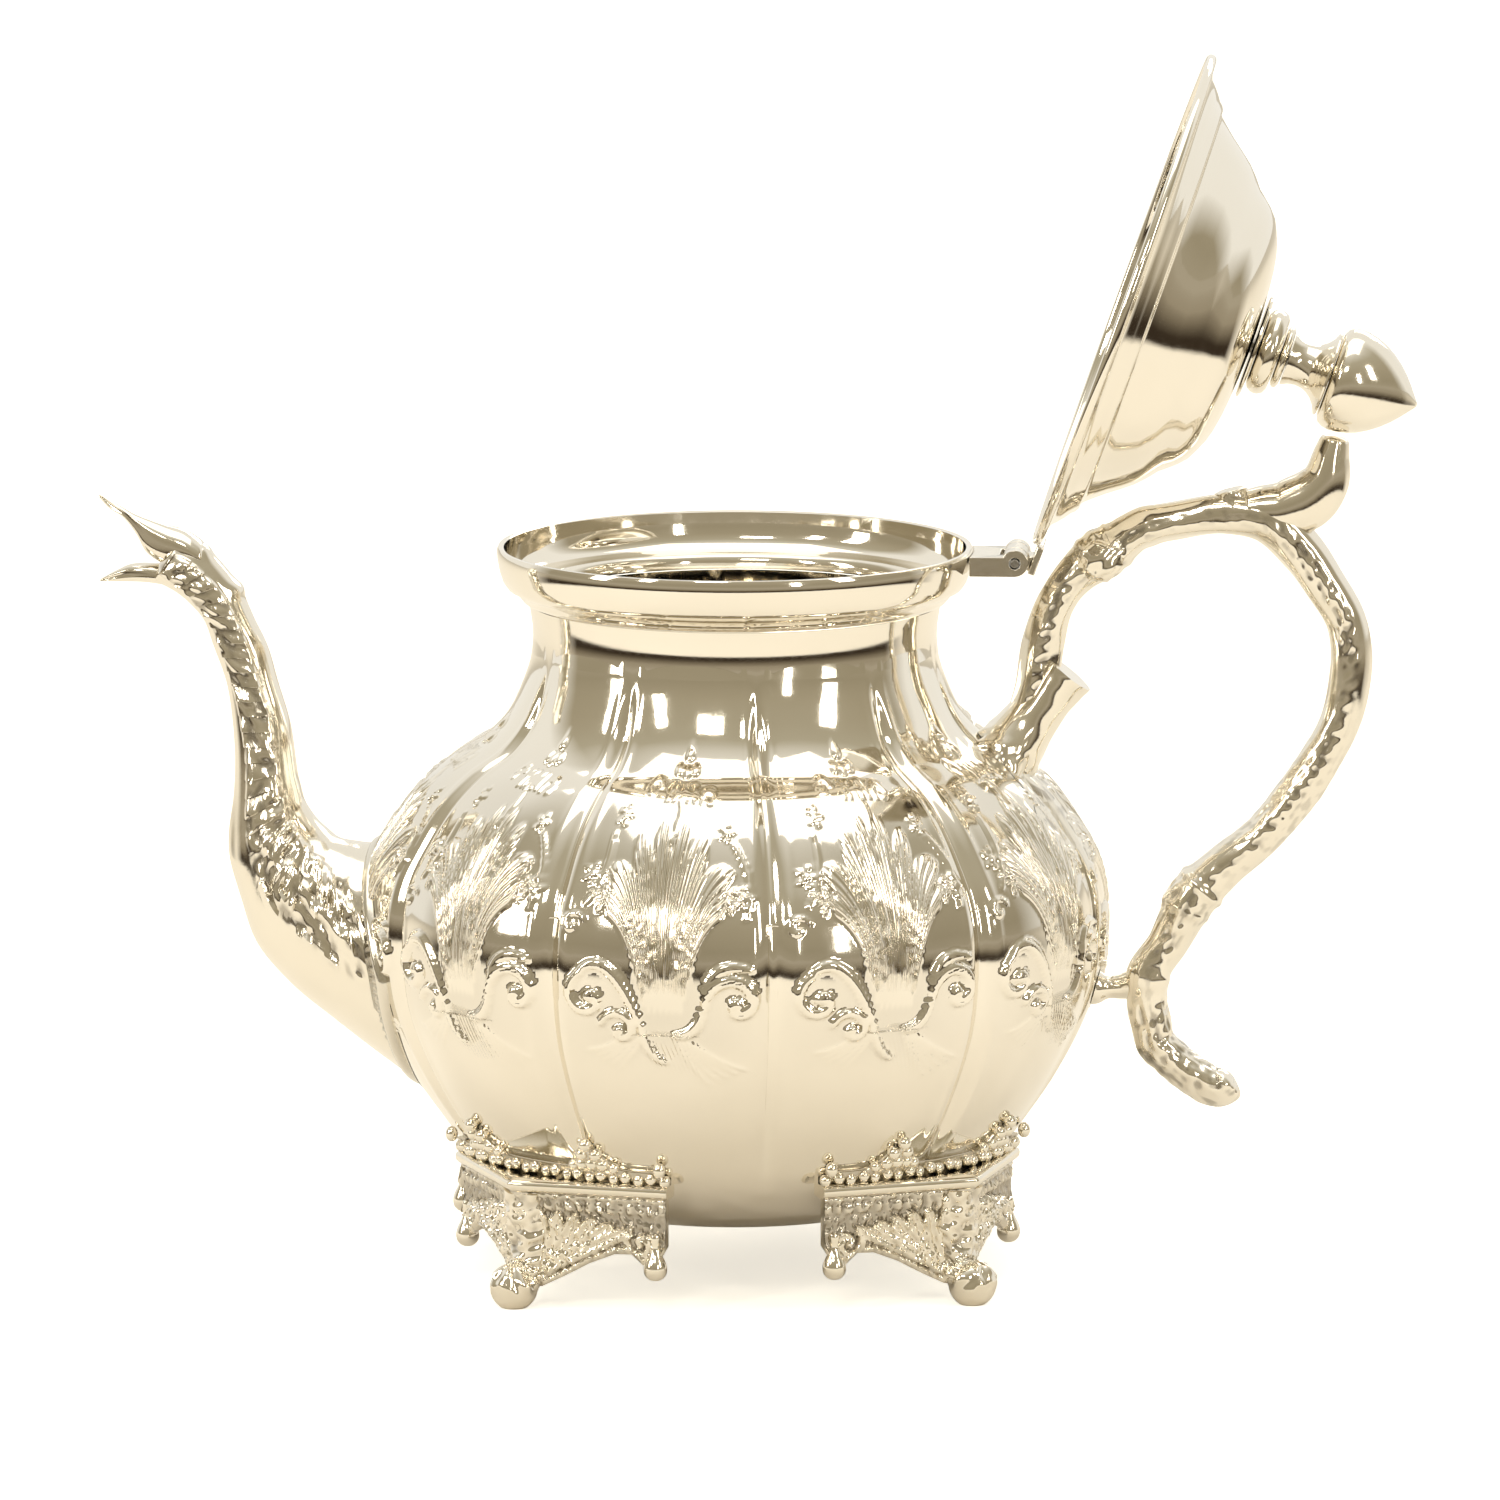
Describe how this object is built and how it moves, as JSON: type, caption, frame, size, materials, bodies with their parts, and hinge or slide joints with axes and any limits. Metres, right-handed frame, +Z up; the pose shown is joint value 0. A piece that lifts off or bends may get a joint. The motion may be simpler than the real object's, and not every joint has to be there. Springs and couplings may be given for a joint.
{
  "type": "teapot",
  "caption": "Lobed silver teapot on four cast feet, with a beast-head spout, a branch handle and a hinged domed lid with a turned finial, shown open.",
  "frame": {"origin": "on the table, under the middle of the whole teapot's box, lid open", "axes": "+X towards the handle, -X towards the spout, +Z up"},
  "size_m": [0.2648, 0.1498, 0.2454],
  "materials": {
    "polished_silver": "polished silver plate, warm",
    "cast_silver": "polished cast silver, softly worn",
    "dull_silver": "silver plate, slightly dull",
    "steel": "plain steel"
  },
  "bodies": {
    "pot": {"bowl": "polished_silver", "foot_back_left": "cast_silver", "foot_back_right": "cast_silver", "foot_front_left": "cast_silver", "foot_front_right": "cast_silver", "handle_grip": "cast_silver", "handle_lower_arm": "cast_silver", "handle_peg": "cast_silver", "handle_stump": "cast_silver", "handle_thumb_rest": "cast_silver", "handle_upper_arm": "cast_silver", "hinge_block": "dull_silver", "hinge_pin": "steel", "rim_band": "polished_silver", "spout": "cast_silver", "spout_flange": "dull_silver"},
    "lid": {"lid_shell": "polished_silver", "lid_rim_bead": "polished_silver", "hinge_leaf": "dull_silver", "finial_flange": "cast_silver", "finial_ring": "cast_silver", "finial_collar": "cast_silver", "finial_stem": "cast_silver", "finial_knob": "cast_silver", "lid_washer": "steel", "lid_nut": "steel", "lid_stud": "steel"}
  },
  "joints": [
    {"name": "lid_hinge", "type": "hinge", "parent": "pot", "child": "lid", "pos_m": [0.05055, 0, 0.1441], "axis": [0, -1, 0], "range_deg": [0, 109.6]}
  ]
}
